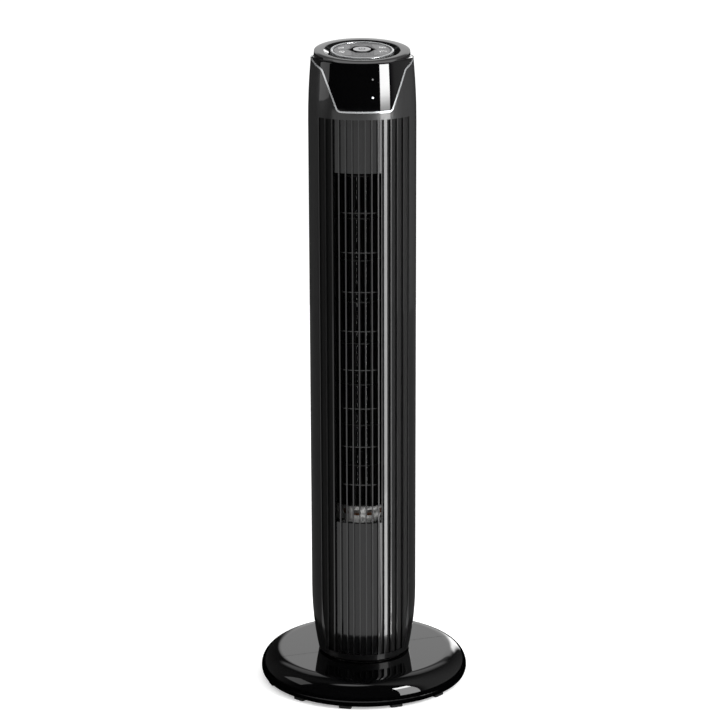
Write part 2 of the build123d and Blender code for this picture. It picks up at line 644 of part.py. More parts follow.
with BuildPart() as hub_set_screw:
    with BuildSketch(Plane.YZ.offset(ROTOR_X + SHAFT_R + FIT)):
        with Locations((ROTOR_Y, IMPELLER_LOW + 10)):
            Circle(1.95)
    extrude(amount=4.6)
    with BuildSketch(Plane.YZ.offset(ROTOR_X + SHAFT_R + 4)):
        with Locations((ROTOR_Y, IMPELLER_LOW + 10)):
            RegularPolygon(1.0, 6)
    extrude(amount=3, mode=Mode.SUBTRACT)
write(hub_set_screw, "hub_set_screw")

with BuildPart() as top_stub_axle:
    rotor_tube(0, STUB_R, IMPELLER_HIGH + DISC / 2, TOP_PLATE + 11)
    rotor_tube(0, 12.0, IMPELLER_HIGH + DISC / 2, IMPELLER_HIGH + 3)
write(top_stub_axle, "top_stub_axle")

with BuildPart() as top_bearing_bush:
    rotor_tube(STUB_R + FIT, TOP_BORE, TOP_PLATE, TOP_PLATE + 12.5)
write(top_bearing_bush, "top_bearing_bush")

with BuildPart() as bush_retainer:
    rotor_tube(STUB_R + 1.5, 13.0, TOP_PLATE + 13, TOP_PLATE + 14.2)
write(bush_retainer, "bush_retainer")

# ---- impeller motor ----
BELL_LOW, BELL_HIGH = 198.0, 264.0
BUSH_R = 7.0


def bell(low, high, end_low, end_high, boss_low, boss_high, flange_low):
    """One half of the motor's case: a cup with an end wall, a bearing boss and a flange."""
    rotor_tube(BELL_R - BELL_WALL, BELL_R, low, high)
    rotor_tube(BUSH_R, BELL_R, end_low, end_high)
    rotor_tube(BUSH_R, BUSH_R + 2.5, boss_low, boss_high)
    with BuildSketch(Plane.XY.offset(flange_low)) as flange:
        with Locations((ROTOR_X, ROTOR_Y)):
            Circle(BELL_R + 2)
            for turn in (45, 135):
                SlotCenterToCenter(2 * MOTOR_SCREW_R, 8, rotation=turn)
            Circle(BELL_R - BELL_WALL, mode=Mode.SUBTRACT)
    extrude(flange.sketch, amount=1.6)


def side_vents(middle, height, width):
    """Oval vents through the side of a bell."""
    for i in range(12):
        spot = turned(15 + 30 * i)
        spot = Plane(origin=(ROTOR_X, ROTOR_Y, middle), x_dir=spot.x_dir, z_dir=spot.z_dir)
        with BuildSketch(spot.offset(BELL_R - 6)) as vent:
            SlotOverall(width, height)
        extrude(vent.sketch, amount=12, mode=Mode.SUBTRACT)


with BuildPart() as motor_upper_bell:
    bell(DUCT_LOW, BELL_HIGH, BELL_HIGH - 2, BELL_HIGH, BELL_HIGH - 9, BELL_HIGH, DUCT_LOW)
    fillet(motor_upper_bell.edges().filter_by(GeomType.CIRCLE).filter_by_position(
        Axis.Z, BELL_HIGH - 0.01, BELL_HIGH + 0.01).sort_by(SortBy.RADIUS)[-1], 1.5)
    side_vents((DUCT_LOW + BELL_HIGH) / 2 + 2, 9, 12)
    with BuildSketch(Plane.XY.offset(BELL_HIGH - 3)):
        with Locations((ROTOR_X, ROTOR_Y)):
            with PolarLocations(22, 8):
                SlotOverall(14, 7)
    extrude(amount=5, mode=Mode.SUBTRACT)
    screw_holes(1.8, DUCT_LOW, DUCT_LOW + 2)
write(motor_upper_bell, "motor_upper_bell")

with BuildPart() as motor_lower_bell:
    bell(BELL_LOW, DUCT_LOW, BELL_LOW, BELL_LOW + 2, BELL_LOW, BELL_LOW + 9, MOTOR_PLATE - 1.6)
    side_vents(BELL_LOW + 11, 8, 12)
    screw_holes(1.5, MOTOR_PLATE - 2, MOTOR_PLATE)
write(motor_lower_bell, "motor_lower_bell")

with BuildPart() as motor_bushes:
    rotor_tube(SHAFT_R + FIT, BUSH_R, BELL_LOW, BELL_LOW + 8)
    rotor_tube(SHAFT_R + FIT, BUSH_R, BELL_HIGH - 8, BELL_HIGH)
write(motor_bushes, "motor_bushes")

STACK = (216.0, 244.0)
SLOT_PLACES = 12
with BuildPart() as motor_stator:
    rotor_tube(20.0, BELL_R - BELL_WALL, *STACK)
    with BuildSketch(Plane.XY.offset(STACK[0])):
        with Locations((ROTOR_X, ROTOR_Y)):
            with PolarLocations(26, SLOT_PLACES):
                Rectangle(8, 6.4)
            with PolarLocations(21, SLOT_PLACES):
                Rectangle(6, 2)
    extrude(amount=STACK[1] - STACK[0], mode=Mode.SUBTRACT)
write(motor_stator, "motor_stator")

with BuildPart() as motor_windings:
    rotor_tube(22.5, 30.5, STACK[0] - 7, STACK[0] - 0.2)
    rotor_tube(22.5, 30.5, STACK[1] + 0.2, STACK[1] + 7)
    fillet(motor_windings.edges().filter_by(GeomType.CIRCLE), 2.0)
    with BuildSketch(Plane.XY.offset(STACK[0] - 2)):
        with Locations((ROTOR_X, ROTOR_Y)):
            with PolarLocations(26, SLOT_PLACES):
                Rectangle(6.8, 5.4)
    extrude(amount=STACK[1] - STACK[0] + 4)
write(motor_windings, "motor_windings")

with BuildPart() as motor_rotor:
    rotor_tube(SHAFT_R, 19.5, STACK[0] - 1, STACK[1] + 1)
    rotor_tube(13.0, 18.5, STACK[0] - 3, STACK[1] + 3)
write(motor_rotor, "motor_rotor")

with BuildPart() as motor_shaft:
    rotor_tube(0, SHAFT_R, BELL_LOW - 2, IMPELLER_LOW + 16)
write(motor_shaft, "motor_shaft")

with BuildPart() as motor_screws:
    for x, y in motor_screws_at:
        screw_at(x, y, DUCT_LOW + 1.6, DUCT_LOW + 3.8, MOTOR_PLATE - 6)
write(motor_screws, "motor_screws")

with BuildPart() as run_capacitor:
    block((-19, -58, MOTOR_PLATE - 28), (19, -40, MOTOR_PLATE - 1.5))
    fillet(run_capacitor.edges().filter_by(Axis.Z), 3.0)
    block((-26, -53, MOTOR_PLATE - 1.5), (26, -45, MOTOR_PLATE))
write(run_capacitor, "run_capacitor")

# ---- top cap: the display's apron, the wall and the dished top in one moulding ----
CAP_R = 67.0
CAP_WALL = 2.6
SHOULDER = (902.0, 906.5)      # the apron's face rounds over between these heights
RIM_R = 65.8                   # radius of the wall at its highest point
BAND_IN = 53.0                 # inner edge of the slightly crowned band round the top
BAND_CROWN = [(54.5, 0.0), (61.0, -0.2), (70.0, -1.2)]       # radius and height on the panel's axis
MOAT = (46.2, -4.0, -7.5)      # outer radius, height of its lip, height of its floor
CAP_FLOOR = 2.5
SKIRT_LOW = 892.0
STEM_R = 2.0
RECESS_Y = 4.0                 # middle of the hexagonal recess, behind the panel's middle
RECESS_R = 19.5
KEY_R = 39.2
KEY_SPLIT = 4.0
KEY_TOP = -0.4
RING_TOP = 0.4

light_places = [(10.6, 858.4), (10.6, 883.0)]
LIGHT_R = 1.3

stem_places = {"speed_button": (-29.0, 14.0), "timer_button": (-29.0, -8.3),
               "mode_button": (29.0, 14.0), "swing_button": (29.0, -8.3)}


def light_pins(radius, mode=Mode.ADD):
    """Short pins along Y through the apron, where the indicator lights shine out."""
    with BuildSketch(Plane.XZ.offset(64.5)) as pins:
        with Locations(*light_places):
            Circle(radius)
    extrude(pins.sketch, amount=12, mode=mode)


def panel_disc(inner, outer, low, high, mode=Mode.ADD):
    """Ring or disc on the panel's axis, with its heights along that axis."""
    with BuildSketch(panel.offset(low)) as disc:
        Circle(outer)
        if inner > 0:
            Circle(inner, mode=Mode.SUBTRACT)
    extrude(disc.sketch, amount=high - low, mode=mode)


with BuildPart() as cap_hollow:
    tube(0, CAP_R - CAP_WALL, 860, 960)
    split(bisect_by=panel.offset(MOAT[2] - CAP_FLOOR), keep=Keep.BOTTOM)

with BuildPart() as cap_apron:
    tower_form(0, 830, SHOULDER[0])
    with BuildSketch(Plane.XZ):
        with BuildLine():
            edge_r = tower_radius(SHOULDER[0])
            Line((0, SHOULDER[0]), (edge_r, SHOULDER[0]))
            ThreePointArc((edge_r, SHOULDER[0]), (CAP_R + 3.0, SHOULDER[1] - 1.4), (CAP_R, SHOULDER[1]))
            Polyline((CAP_R, SHOULDER[1]), (0, SHOULDER[1]), (0, SHOULDER[0]))
        make_face()
    revolve(axis=Axis.Z)
    tower_form(CAP_WALL, 830, 896, mode=Mode.SUBTRACT)
    tube(0, CAP_R - CAP_WALL, 890, 920, mode=Mode.SUBTRACT)
    block((-90, 0, 800), (90, 90, 960), mode=Mode.SUBTRACT)
    with BuildPart(mode=Mode.PRIVATE) as apron_outline:
        display_outline(-TRIM_WIDTH / 2 - FIT)
    add(apron_outline.part, mode=Mode.INTERSECT)
    light_pins(LIGHT_R + FIT, mode=Mode.SUBTRACT)

with BuildPart() as indicator_windows:
    tower_form(0, 840, 900)
    light_pins(LIGHT_R, mode=Mode.INTERSECT)
write(indicator_windows, "indicator_windows")

with BuildPart() as top_cap:
    with BuildSketch(Plane.XZ):
        with BuildLine():
            Polyline((0, SKIRT_LOW), (CAP_R, SKIRT_LOW), (CAP_R, SHOULDER[1]), (RIM_R, 924), (RIM_R, 940),
                     (0, 940), close=True)
        make_face()
    revolve(axis=Axis.Z)
    add(cap_hollow.part, mode=Mode.SUBTRACT)
    with BuildPart(mode=Mode.PRIVATE) as cap_bosses:
        for x, y, _ in cap_lugs:
            tube(0, 4.2, CAP_LUG[1], 940, x, y)
        split(bisect_by=panel.offset(MOAT[2] - 1), keep=Keep.BOTTOM)
    add(cap_bosses.part)
    for x, y, _ in cap_lugs:
        tube(0, 1.5, CAP_LUG[1], CAP_LUG[1] + 12, x, y, mode=Mode.SUBTRACT)
    add(cap_apron.part)
    # everything above the band, the slope and the moat is cut away round the panel's axis
    with BuildSketch(Plane(origin=panel.origin, x_dir=panel.x_dir, z_dir=-panel.y_dir)) as above_top:
        with BuildLine():
            ThreePointArc(*BAND_CROWN)
            Polyline(BAND_CROWN[0], (BAND_IN, -0.1), (MOAT[0], MOAT[1]), (MOAT[0], MOAT[2]), (0, MOAT[2]),
                     (0, 60), (90, 60), BAND_CROWN[-1])
        make_face()
    revolve(above_top.sketch, axis=Axis(panel.origin, panel.z_dir), mode=Mode.SUBTRACT)
    with BuildSketch(panel.offset(MOAT[2] - 6)):
        with Locations(*stem_places.values(), (0, RECESS_Y)):
            Circle(STEM_R + 0.6)
    extrude(amount=8, mode=Mode.SUBTRACT)
write(top_cap, "top_cap")

with BuildPart() as cap_screws:
    for x, y, _ in cap_lugs:
        screw_at(x, y, CAP_LUG[0] - 2.2, CAP_LUG[0], CAP_LUG[1] + 9)
write(cap_screws, "cap_screws")

with BuildPart() as trim_band:
    tower_form(-TRIM_PROUD, 830, TRIM_LIP + TRIM_WIDTH / 2)
    tower_form(TRIM_DEPTH, 830, TRIM_LIP + TRIM_WIDTH / 2, mode=Mode.SUBTRACT)
    with BuildPart(mode=Mode.PRIVATE) as trim_outline:
        display_outline(TRIM_WIDTH / 2)
        with BuildPart(mode=Mode.PRIVATE) as trim_inside:
            display_outline(-TRIM_WIDTH / 2)
        add(trim_inside.part, mode=Mode.SUBTRACT)
        block((-90, 0, TRIM_LIP - TRIM_WIDTH / 2), (90, 90, 920))
    add(trim_outline.part, mode=Mode.INTERSECT)
write(trim_band, "trim_band")

# ---- control panel ----
with BuildPart() as panel_ring:
    panel_disc(40.6, 44.0, MOAT[2], RING_TOP)
    fillet(panel_ring.edges().filter_by(GeomType.CIRCLE).sort_by(Axis.Z)[-2:], 0.9)
write(panel_ring, "panel_ring")


def key_outline(side, upper, shrink):
    """Sketch of one sector key beside the recess, drawn in all round by shrink."""
    inner_x = 15.0 + shrink
    if upper:
        low, high = KEY_SPLIT + 0.05 + shrink, 31.0 - shrink
    else:
        low, high = -25.0 + shrink, KEY_SPLIT - 0.05 - shrink
    Circle(KEY_R - shrink)
    with Locations((side * (inner_x + 45) / 2, (low + high) / 2)):
        Rectangle(45 - inner_x, high - low, mode=Mode.INTERSECT)
    with Locations((0, RECESS_Y)):
        RegularPolygon(RECESS_R + 1.6 + shrink, 6, mode=Mode.SUBTRACT)


with BuildPart() as panel_plate:
    panel_disc(0, 40.5, MOAT[2], KEY_TOP)
    for side in (-1, 1):
        for upper in (False, True):
            with BuildSketch(panel.offset(-6.2)):
                key_outline(side, upper, 0)
            extrude(amount=10, mode=Mode.SUBTRACT)
    with BuildSketch(panel.offset(-5.6)):
        with Locations((0, RECESS_Y)):
            RegularPolygon(RECESS_R, 6)
    extrude(amount=10, mode=Mode.SUBTRACT)
    with BuildSketch(panel.offset(-9)):
        with Locations(*stem_places.values(), (0, RECESS_Y)):
            Circle(STEM_R + 0.4)
    extrude(amount=10, mode=Mode.SUBTRACT)
write(panel_plate, "panel_plate")

STEM_LOW = -9.4
for name, (x, y) in stem_places.items():
    with BuildPart() as key:
        with BuildSketch(panel.offset(-4.9)):
            key_outline(1 if x > 0 else -1, y > KEY_SPLIT, 0.3)
        extrude(amount=KEY_TOP + 4.9)
        with BuildSketch(panel.offset(STEM_LOW)):
            with Locations((x, y)):
                Circle(STEM_R)
        extrude(amount=-4.9 - STEM_LOW)
    write(key, name)

with BuildPart() as button_well:
    with BuildSketch(panel.offset(-5.6)):
        with Locations((0, RECESS_Y)):
            RegularPolygon(RECESS_R - 0.1, 6)
            Circle(STEM_R + 0.5, mode=Mode.SUBTRACT)
    extrude(amount=1.0)
    with BuildSketch(panel.offset(-4.6)):
        with Locations((0, RECESS_Y)):
            RegularPolygon(RECESS_R - 0.1, 6)
            RegularPolygon(RECESS_R - 1.3, 6, mode=Mode.SUBTRACT)
    extrude(amount=KEY_TOP + 4.6 - 0.4)
write(button_well, "button_well")

with BuildPart() as power_button:
    with BuildSketch(panel.offset(-3.4)):
        with Locations((0, RECESS_Y)):
            Circle(12.5)
    extrude(amount=3.6)
    fillet(power_button.edges().sort_by(Axis.Z)[-1], 0.6)
    with BuildSketch(panel.offset(STEM_LOW)):
        with Locations((0, RECESS_Y)):
            Circle(STEM_R)
    extrude(amount=-3.4 - STEM_LOW)
write(power_button, "power_button")

# ---- electronics ----
BOARD_TOP = -14.4
with BuildPart() as control_board:
    panel_disc(0, 46.0, BOARD_TOP - 1.6, BOARD_TOP)
write(control_board, "control_board")

with BuildPart() as tact_switches:
    with BuildSketch(panel.offset(BOARD_TOP)):
        with Locations(*stem_places.values(), (0, RECESS_Y)):
            Rectangle(6, 6)
    extrude(amount=2.4)
    with BuildSketch(panel.offset(BOARD_TOP + 2.4)):
        with Locations(*stem_places.values(), (0, RECESS_Y)):
            Circle(1.6)
    extrude(amount=1.3)
write(tact_switches, "tact_switches")

with BuildPart() as board_components:
    for x, y, width, depth, height in ((-20, 18, 19, 15, 15), (8, 22, 12, 10, 9), (24, 10, 10, 10, 14),
                                       (0, -18, 16, 12, 3), (-24, -12, 12, 9, 8), (22, -20, 14, 8, 5)):
        with BuildSketch(panel.offset(BOARD_TOP - 1.6)):
            with Locations((x, y)):
                Rectangle(width, depth)
        extrude(amount=-height)
write(board_components, "board_components")

DISPLAY_BOARD_Y = -60.0
with BuildPart() as display_board:
    block((-22, DISPLAY_BOARD_Y - 1.6, 846), (22, DISPLAY_BOARD_Y, 890))
write(display_board, "display_board")

with BuildPart() as indicator_leds:
    for x, z in light_places:
        block((x - 1.8, DISPLAY_BOARD_Y - 4.1, z - 1.8), (x + 1.8, DISPLAY_BOARD_Y - 1.6, z + 1.8))
write(indicator_leds, "indicator_leds")

with BuildPart() as ir_receiver:
    block((-13, DISPLAY_BOARD_Y - 5.6, 866), (-7, DISPLAY_BOARD_Y - 1.6, 873))
write(ir_receiver, "ir_receiver")

# ---- wires from the control board down the left side of the duct to the motor ----
LOOM_R = 2.0
with BuildPart() as wiring_loom:
    with BuildLine() as loom_route:
        FilletPolyline((-20, -5, 886), (-42, -12, 880), (LOOM_X, LOOM_Y, 840), (LOOM_X, LOOM_Y, 270),
                       (-58, -22, 232), (-38, -30, 222), radius=[18, 18, 18, 14])
    with BuildSketch(Plane(origin=loom_route.line @ 0, z_dir=loom_route.line % 0)):
        Circle(LOOM_R)
    sweep(path=loom_route.line)
write(wiring_loom, "wiring_loom")
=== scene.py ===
"""A tower fan's finishes, dust screen, printed marks and studio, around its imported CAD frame, in metres."""
import json
import math

import bmesh
import bpy
from mathutils import Matrix, Vector


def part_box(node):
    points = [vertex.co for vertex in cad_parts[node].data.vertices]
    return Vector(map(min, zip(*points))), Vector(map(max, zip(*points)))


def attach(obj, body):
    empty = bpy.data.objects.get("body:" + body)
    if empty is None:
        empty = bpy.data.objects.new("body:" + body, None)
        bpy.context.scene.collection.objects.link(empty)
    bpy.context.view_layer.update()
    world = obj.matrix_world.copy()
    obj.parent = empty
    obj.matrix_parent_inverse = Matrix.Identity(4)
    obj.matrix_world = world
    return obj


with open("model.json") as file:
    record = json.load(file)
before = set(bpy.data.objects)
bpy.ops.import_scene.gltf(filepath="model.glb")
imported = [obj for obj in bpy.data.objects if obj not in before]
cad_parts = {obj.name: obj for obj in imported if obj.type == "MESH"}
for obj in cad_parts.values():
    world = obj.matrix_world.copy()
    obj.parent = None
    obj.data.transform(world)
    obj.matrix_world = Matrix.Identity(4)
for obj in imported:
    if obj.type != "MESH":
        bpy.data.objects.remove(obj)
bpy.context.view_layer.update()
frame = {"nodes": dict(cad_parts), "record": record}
scene = bpy.context.scene

# ---- camera ----
VIEW_AZIMUTH = math.radians(-3.0)      # from -Y towards +X
VIEW_DISTANCE = 3.362                  # level, from the tower's axis
VIEW_HEIGHT = 1.332
VIEW_PITCH = math.radians(14.33)       # downwards
VIEW_ROLL = math.radians(-0.18)
LENS, SENSOR = 121.9, 36.0             # both in millimetres
SHIFT_X = -0.0042                      # share of the picture's width
CLIP_END = 60.0


def around_axis(radius, azimuth, z):
    """Point at a radius and an azimuth in radians from -Y towards +X."""
    return (radius * math.sin(azimuth), -radius * math.cos(azimuth), z)


def add_camera():
    """Camera in front of the fan and above it, looking down."""
    data = bpy.data.cameras.new("camera")
    data.lens = LENS
    data.sensor_width = SENSOR
    data.shift_x = SHIFT_X
    data.clip_end = CLIP_END
    camera = bpy.data.objects.new("camera", data)
    scene.collection.objects.link(camera)
    camera.matrix_world = (Matrix.Translation(around_axis(VIEW_DISTANCE, VIEW_AZIMUTH, VIEW_HEIGHT))
                           @ Matrix.Rotation(VIEW_AZIMUTH, 4, "Z")
                           @ Matrix.Rotation(math.pi / 2 - VIEW_PITCH, 4, "X")
                           @ Matrix.Rotation(VIEW_ROLL, 4, "Z"))
    scene.camera = camera


add_camera()
scene.view_settings.view_transform = "Standard"
scene.view_settings.look = "None"

# ---- shader nodes ----
MIX_SHARE = 0                                       # sockets of a Mix node, by their places
NUMBER_A, NUMBER_B, NUMBER_OUT = 2, 3, 0
COLOUR_A, COLOUR_B, COLOUR_OUT = 6, 7, 2


def give(tree, socket, value):
    """Give a socket a number or another node's output."""
    if isinstance(value, (int, float)):
        socket.default_value = value
    else:
        tree.links.new(value, socket)


def math_node(tree, operation, *values):
    """Math node on numbers or on other nodes' outputs."""
    node = tree.nodes.new("ShaderNodeMath")
    node.operation = operation
    for socket, value in zip(node.inputs, values):
        give(tree, socket, value)
    return node.outputs[0]


def product(tree, result, *others):
    """Product of all the values."""
    for other in others:
        result = math_node(tree, "MULTIPLY", result, other)
    return result


def total(tree, result, *others):
    """Sum of all the values."""
    for other in others:
        result = math_node(tree, "ADD", result, other)
    return result


def smooth_step(tree, value, edge, low=0.0, high=1.0):
    """From low at the edge's start to high at its end; the start may be above the end."""
    if edge[0] > edge[1]:
        low, high = high, low
    node = tree.nodes.new("ShaderNodeMapRange")
    node.interpolation_type = "SMOOTHSTEP"
    node.inputs["From Min"].default_value = min(edge)
    node.inputs["From Max"].default_value = max(edge)
    node.inputs["To Min"].default_value = low
    node.inputs["To Max"].default_value = high
    tree.links.new(value, node.inputs["Value"])
    return node.outputs["Result"]


def mix_numbers(tree, share, first, second):
    """From first where share is 0 to second where it is 1."""
    node = tree.nodes.new("ShaderNodeMix")
    for place, value in ((MIX_SHARE, share), (NUMBER_A, first), (NUMBER_B, second)):
        give(tree, node.inputs[place], value)
    return node.outputs[NUMBER_OUT]


def coordinate(tree, kind):
    """Vector of a texture coordinate: Object, Normal or Generated."""
    return tree.nodes.new("ShaderNodeTexCoord").outputs[kind]


def separate(tree, vector):
    """X, Y and Z of a vector."""
    node = tree.nodes.new("ShaderNodeSeparateXYZ")
    tree.links.new(vector, node.inputs["Vector"])
    return node.outputs


def azimuth_of(tree, vector):
    """Azimuth of a vector in radians from -Y towards +X."""
    parts = separate(tree, vector)
    return math_node(tree, "ARCTAN2", parts["X"], math_node(tree, "MULTIPLY", parts["Y"], -1.0))


def noise(tree, vector, scale, detail):
    """Noise about a half, over a vector."""
    node = tree.nodes.new("ShaderNodeTexNoise")
    node.inputs["Scale"].default_value = scale
    node.inputs["Detail"].default_value = detail
    tree.links.new(vector, node.inputs["Vector"])
    return node.outputs["Fac"]


# ---- materials ----
NOISE_LOW, NOISE_HIGH = 0.3, 0.7       # most of a noise lies between these
COARSE = 0.13                          # scale of the roughness's noise, as a share of the colour's
COLOUR_DETAIL, ROUGH_DETAIL, BUMP_DETAIL = 3.0, 5.0, 2.0
BUMP_HEIGHT = 0.0005
COAT_ROUGHNESS = 0.03


def build_material(name, colour, roughness, metallic=0.0, speck=0.02, speck_scale=400.0, rough_spread=0.04,
                   bump=0.02, bump_scale=900.0, stretch=(1, 1, 1), coat=0.0, glow=None):
    """Principled material with noise in its colour, roughness and surface, in the object's own space.

    glow is the emission's colour and strength.
    """
    mat = bpy.data.materials.new(name)
    mat.use_nodes = True
    tree = mat.node_tree
    shader = tree.nodes["Principled BSDF"]
    shader.inputs["Metallic"].default_value = metallic
    shader.inputs["Coat Weight"].default_value = coat
    shader.inputs["Coat Roughness"].default_value = COAT_ROUGHNESS
    mapping = tree.nodes.new("ShaderNodeMapping")
    mapping.inputs["Scale"].default_value = stretch
    tree.links.new(coordinate(tree, "Object"), mapping.inputs["Vector"])
    vector = mapping.outputs["Vector"]

    mix = tree.nodes.new("ShaderNodeMix")
    mix.data_type = "RGBA"
    mix.inputs[COLOUR_A].default_value = (*[c * (1 - speck) for c in colour], 1.0)
    mix.inputs[COLOUR_B].default_value = (*[min(1.0, c * (1 + speck)) for c in colour], 1.0)
    tree.links.new(noise(tree, vector, speck_scale, COLOUR_DETAIL), mix.inputs[MIX_SHARE])
    tree.links.new(mix.outputs[COLOUR_OUT], shader.inputs["Base Color"])

    ramp = tree.nodes.new("ShaderNodeMapRange")
    ramp.inputs["From Min"].default_value = NOISE_LOW
    ramp.inputs["From Max"].default_value = NOISE_HIGH
    ramp.inputs["To Min"].default_value = max(0.0, roughness - rough_spread)
    ramp.inputs["To Max"].default_value = roughness + rough_spread
    tree.links.new(noise(tree, vector, speck_scale * COARSE, ROUGH_DETAIL), ramp.inputs["Value"])
    tree.links.new(ramp.outputs["Result"], shader.inputs["Roughness"])

    bumps = tree.nodes.new("ShaderNodeBump")
    bumps.inputs["Strength"].default_value = bump
    bumps.inputs["Distance"].default_value = BUMP_HEIGHT
    tree.links.new(noise(tree, vector, bump_scale, BUMP_DETAIL), bumps.inputs["Height"])
    tree.links.new(bumps.outputs["Normal"], shader.inputs["Normal"])
    if glow:
        shader.inputs["Emission Color"].default_value = (*glow[0], 1.0)
        shader.inputs["Emission Strength"].default_value = glow[1]
    return mat


def fade(tree, name, share, other):
    """Turn a shader's input to another value where share is 0; where share is 1 it stays as built."""
    socket = tree.nodes["Principled BSDF"].inputs[name]
    built = socket.links[0].from_socket if socket.is_linked else socket.default_value
    if socket.type == "RGBA":
        mix = tree.nodes.new("ShaderNodeMix")
        mix.data_type = "RGBA"
        mix.inputs[COLOUR_A].default_value = (*other, 1.0)
        tree.links.new(built, mix.inputs[COLOUR_B])
        tree.links.new(share, mix.inputs[MIX_SHARE])
        tree.links.new(mix.outputs[COLOUR_OUT], socket)
    else:
        tree.links.new(mix_numbers(tree, share, other, built), socket)


# one material for each slot of the record
FINISHES = {
    "gloss_black": {"colour": (0.0006, 0.0006, 0.0007), "roughness": 0.03, "rough_spread": 0.015,
                    "bump": 0.004, "bump_scale": 120.0, "speck": 0.3},
    "satin_black": {"colour": (0.004, 0.004, 0.0042), "roughness": 0.34, "rough_spread": 0.03, "coat": 0.75,
                    "bump": 0.03, "bump_scale": 1500.0, "speck": 0.3},
    "inner_black": {"colour": (0.004, 0.004, 0.004), "roughness": 0.42, "rough_spread": 0.08,
                    "bump": 0.15, "bump_scale": 1800.0, "speck": 0.2},
    "silver": {"colour": (0.60, 0.61, 0.62), "roughness": 0.24, "metallic": 0.8,
               "bump_scale": 2500.0, "speck": 0.03},
    "panel_silver": {"colour": (0.10, 0.10, 0.105), "roughness": 0.30, "rough_spread": 0.05, "metallic": 0.6,
                     "bump": 0.10, "bump_scale": 4000.0, "speck": 0.06, "speck_scale": 2500.0},
    "rubber": {"colour": (0.012, 0.012, 0.012), "roughness": 0.7, "rough_spread": 0.08,
               "bump": 0.25, "bump_scale": 2200.0},
    "steel": {"colour": (0.56, 0.56, 0.55), "roughness": 0.28, "metallic": 1.0,
              "bump": 0.06, "bump_scale": 3000.0, "stretch": (1, 1, 6)},
    "motor_case": {"colour": (0.9, 0.89, 0.87), "roughness": 0.30, "rough_spread": 0.08, "metallic": 0.5,
                   "speck": 0.08, "speck_scale": 140.0},
    "core_steel": {"colour": (0.30, 0.29, 0.28), "roughness": 0.4, "metallic": 1.0,
                   "bump": 0.6, "stretch": (0.02, 0.02, 3)},
    "bronze": {"colour": (0.62, 0.42, 0.20), "roughness": 0.35, "metallic": 1.0, "speck": 0.12},
    "copper": {"colour": (0.16, 0.055, 0.02), "roughness": 0.4, "metallic": 1.0,
               "bump": 0.5, "bump_scale": 1200.0, "stretch": (1, 1, 0.05)},
    "acetal": {"colour": (0.80, 0.79, 0.75), "roughness": 0.38},
    "board_green": {"colour": (0.02, 0.16, 0.06), "roughness": 0.3, "speck": 0.35, "speck_scale": 180.0},
    "component_black": {"colour": (0.02, 0.02, 0.022), "roughness": 0.4},
    "led_clear": {"colour": (0.9, 0.95, 1.0), "roughness": 0.2, "glow": ((0.85, 0.93, 1.0), 2.5)},
}
materials = {name: build_material(name, **finish) for name, finish in FINISHES.items()}

POLISH_START = (math.radians(-38.0), math.radians(-37.0))   # azimuths over which the liner's polish begins
POLISH_END = (math.radians(21.0), math.radians(16.5))       # and over which it ends, from the dull side
LINER_DULL = 0.95
# painted shade: the liner's darker colour beside the outlet, for the grooves between the fins
LINER_SHADE = (0.0008, 0.0008, 0.0008)


def liner_finish():
    """The outlet's liner: polished in front of the outlet and dull beside it, where its colour is darkened
    with painted shade for the grooves between the fins.
    """
    mat = build_material("liner_black", (0.004, 0.004, 0.0042), 0.10, rough_spread=0.03, bump_scale=600.0,
                         speck=0.3)
    tree = mat.node_tree
    azimuth = azimuth_of(tree, coordinate(tree, "Object"))
    polished = product(tree, smooth_step(tree, azimuth, POLISH_START),
                       smooth_step(tree, azimuth, POLISH_END))
    fade(tree, "Roughness", polished, LINER_DULL)
    # painted shade: the colour darkens beside the outlet
    fade(tree, "Base Color", polished, LINER_SHADE)
    return mat


FACES_UP = (0.90, 0.96)                # Z of a normal, from the button's side to its top
# the side's colour: partly a black rim, partly painted shade from the recess round the button
BUTTON_SIDE = (0.004, 0.004, 0.004)


def button_finish():
    """The power button: silver on top and black round its side, the black being partly a black rim and partly
    painted shade from the recess round it.
    """
    mat = build_material("button_silver", (0.55, 0.55, 0.56), 0.32, metallic=0.6, bump=0.05,
                         bump_scale=4000.0, speck=0.05, speck_scale=2500.0)
    tree = mat.node_tree
    on_top = smooth_step(tree, separate(tree, coordinate(tree, "Normal"))["Z"], FACES_UP)
    # painted shade on the button's side, with a black rim
    fade(tree, "Base Color", on_top, BUTTON_SIDE)
    fade(tree, "Metallic", on_top, 0.0)
    return mat


LIT, UNLIT = 0.8, 0.02                 # strengths of the indicators' light
UNLIT_LENS = (0.12, 0.12, 0.12)
HALF_BLUR = 0.001                      # half the height over which the light changes


def indicator_finish():
    """The indicators' windows: the lower one is lit and the upper one is dim."""
    mat = build_material("indicator_glow", (0.9, 0.95, 1.0), 0.2, glow=((0.9, 0.95, 1.0), LIT))
    tree = mat.node_tree
    lowest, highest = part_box("indicator_windows")
    middle = (lowest.z + highest.z) / 2
    height = separate(tree, coordinate(tree, "Object"))["Z"]
    lower = smooth_step(tree, height, (middle + HALF_BLUR, middle - HALF_BLUR))
    fade(tree, "Emission Strength", lower, UNLIT)
    fade(tree, "Base Color", lower, UNLIT_LENS)
    return mat


BELL_SHINE, BELL_DIM = 0.22, 0.004     # strengths of a glow that stands for light caught inside the tower
# painted shade on the bell's left side
BELL_SHADE = (0.12, 0.12, 0.12)
SHINE_SIDE = (-0.022, -0.014)          # X over which the painted glow's patches begin
PAINTED_SHADE_SIDE = (-0.026, -0.016)          # X over which the colour turns from painted shade to pale
SHINE_FOOT = (0.0045, 0.0065)          # above the bell's lower edge
SHINE_HEAD = (0.0, 0.0015)             # below the bell's top
PATCH_SCALE, PATCH_DETAIL = 190.0, 2.0
PATCH_EDGE = (0.42, 0.58)              # noise over which a patch begins


